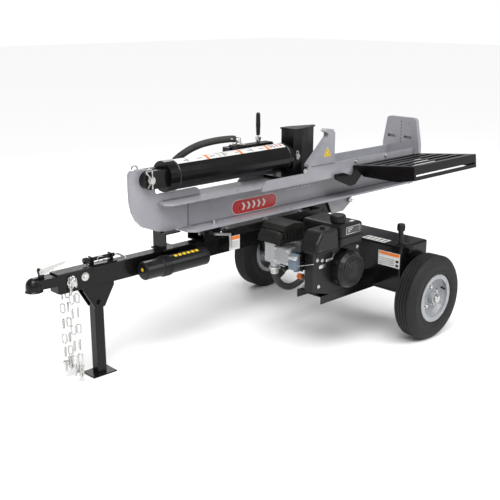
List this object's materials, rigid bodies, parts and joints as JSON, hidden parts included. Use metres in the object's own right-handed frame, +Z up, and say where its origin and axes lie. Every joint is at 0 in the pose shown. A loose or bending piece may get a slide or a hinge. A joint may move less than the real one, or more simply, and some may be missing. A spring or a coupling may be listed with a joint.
{
  "type": "log splitter",
  "caption": "Towable hydraulic log splitter: a tilting beam with a ram, wedge and foot plate on a wheeled oil tank, with an engine and pump, log shelf, hitch, safety chains and folding stand.",
  "frame": {"origin": "on the ground under the middle of the axle", "axes": "+X from the hitch to the foot plate, -Y towards the engine side, +Z up"},
  "size_m": [2.434, 1.205, 1.02],
  "materials": {
    "black_paint": "semi-gloss",
    "grey_paint": "semi-gloss",
    "zinc": "zinc plated",
    "chrome": "polished",
    "aluminium": "as cast",
    "black_plastic": "satin",
    "orange_plastic": "satin",
    "hose_rubber": "matt",
    "tyre": "matt",
    "rim_paint": "satin",
    "dark_steel": "heat dulled"
  },
  "bodies": {
    "chassis": {"tongue_tube": "black_paint", "coupler": "black_paint", "chain_bolt": "zinc", "oil_tank": "black_paint", "axle": "black_paint", "hinge_rail": "black_paint", "hinge_pin": "zinc", "rest_bracket": "black_paint", "lock_bracket": "black_paint", "paper_canister": "black_plastic", "stand_bracket": "black_paint", "engine_plate": "black_paint", "crankcase": "aluminium", "cylinder_head": "aluminium", "valve_cover": "aluminium", "blower_housing": "black_plastic", "recoil_cover": "black_plastic", "fuel_tank": "black_plastic", "air_cleaner": "black_plastic", "muffler_guard": "dark_steel", "pump_adapter": "aluminium", "gear_pump": "aluminium", "suction_hose": "hose_rubber", "pressure_hose_low": "hose_rubber", "return_hose_low": "hose_rubber"},
    "latch": {"coupler_latch": "zinc"},
    "chain_near_body": {"chain_near": "zinc"},
    "chain_far_body": {"chain_far": "zinc"},
    "filler_cap_body": {"filler_cap": "black_plastic"},
    "fuel_cap_body": {"fuel_cap": "black_plastic"},
    "canister_cap_body": {"canister_cap": "black_plastic"},
    "dipstick_body": {"dipstick": "orange_plastic"},
    "recoil_handle_body": {"recoil_handle": "black_plastic"},
    "throttle_body": {"throttle_lever": "zinc"},
    "choke_body": {"choke_lever": "black_plastic"},
    "crank": {"crankshaft": "dark_steel"},
    "wheel_near": {"tyre_near": "tyre", "rim_near": "rim_paint"},
    "wheel_far": {"tyre_far": "tyre", "rim_far": "rim_paint"},
    "stand": {"stand_leg": "black_paint"},
    "lock": {"lock_pin": "zinc"},
    "beam_body": {"beam": "grey_paint", "side_plate_near": "grey_paint", "side_plate_far": "grey_paint", "stripper_near": "grey_paint", "stripper_far": "grey_paint", "foot_plate": "grey_paint", "log_table": "black_paint", "cylinder": "black_paint", "clevis_pin": "zinc", "control_valve": "black_paint", "work_hose": "hose_rubber", "pressure_hose_high": "hose_rubber", "return_hose_high": "hose_rubber"},
    "lever": {"valve_lever": "zinc", "lever_grip": "black_plastic"},
    "ram": {"piston_rod": "chrome", "wedge": "black_paint", "wedge_pin": "zinc"}
  },
  "joints": [
    {"name": "beam_tilt", "type": "hinge", "parent": "chassis", "child": "beam_body", "pos_m": [0.232, 0.18, 0.522], "axis": [0, 1, 0], "range_deg": [0, 90]},
    {"name": "ram_slide", "type": "slide", "parent": "beam_body", "child": "ram", "axis": [1, 0, 0], "range_m": [0, 0.64]},
    {"name": "valve_lever_swing", "type": "hinge", "parent": "beam_body", "child": "lever", "pos_m": [-0.31, 0.285, 0.88], "axis": [0, 1, 0], "range_deg": [-18, 18], "stiffness_Nm_per_rad": 3},
    {"name": "wheel_near_spin", "type": "hinge", "parent": "chassis", "child": "wheel_near", "pos_m": [0, -0.545, 0.203], "axis": [0, 1, 0], "continuous": true},
    {"name": "wheel_far_spin", "type": "hinge", "parent": "chassis", "child": "wheel_far", "pos_m": [0, 0.545, 0.203], "axis": [0, 1, 0], "continuous": true},
    {"name": "stand_fold", "type": "hinge", "parent": "chassis", "child": "stand", "pos_m": [-1.363, 0.18, 0.325], "axis": [0, -1, 0], "range_deg": [0, 90]},
    {"name": "latch_lift", "type": "hinge", "parent": "chassis", "child": "latch", "pos_m": [-1.612, 0.18, 0.509], "axis": [0, -1, 0], "range_deg": [0, 60]},
    {"name": "lock_pull", "type": "slide", "parent": "chassis", "child": "lock", "axis": [0, -1, 0], "range_m": [0, 0.1]},
    {"name": "chain_near_swing", "type": "hinge", "parent": "chassis", "child": "chain_near_body", "pos_m": [-1.49, 0.1425, 0.44], "axis": [0, 1, 0], "range_deg": [-35, 35]},
    {"name": "chain_far_swing", "type": "hinge", "parent": "chassis", "child": "chain_far_body", "pos_m": [-1.49, 0.2178, 0.44], "axis": [0, 1, 0], "range_deg": [-35, 35]},
    {"name": "filler_cap_turn", "type": "hinge", "parent": "chassis", "child": "filler_cap_body", "pos_m": [-0.085, -0.44, 0.53], "axis": [0, 0, 1], "range_deg": [0, 180]},
    {"name": "fuel_cap_turn", "type": "hinge", "parent": "chassis", "child": "fuel_cap_body", "pos_m": [-0.463, -0.375, 0.622], "axis": [0, 0, 1], "range_deg": [0, 90]},
    {"name": "canister_cap_turn", "type": "hinge", "parent": "chassis", "child": "canister_cap_body", "pos_m": [-1.05, 0.106, 0.431], "axis": [1, 0, 0], "range_deg": [0, 90]},
    {"name": "dipstick_turn", "type": "hinge", "parent": "chassis", "child": "dipstick_body", "pos_m": [-0.589, -0.275, 0.368], "axis": [-0.9138, 0, 0.4061], "range_deg": [0, 180]},
    {"name": "recoil_pull", "type": "slide", "parent": "chassis", "child": "recoil_handle_body", "axis": [0, -1, 0], "range_m": [0, 0.5], "stiffness_N_per_m": 20},
    {"name": "throttle_swing", "type": "hinge", "parent": "chassis", "child": "throttle_body", "pos_m": [-0.523, -0.3945, 0.4615], "axis": [0, 1, 0], "range_deg": [-30, 0]},
    {"name": "choke_swing", "type": "hinge", "parent": "chassis", "child": "choke_body", "pos_m": [-0.645, -0.3255, 0.484], "axis": [0, 1, 0], "range_deg": [-25, 0]},
    {"name": "crank_spin", "type": "hinge", "parent": "chassis", "child": "crank", "pos_m": [-0.439, -0.2, 0.404], "axis": [0, 1, 0], "continuous": true}
  ]
}
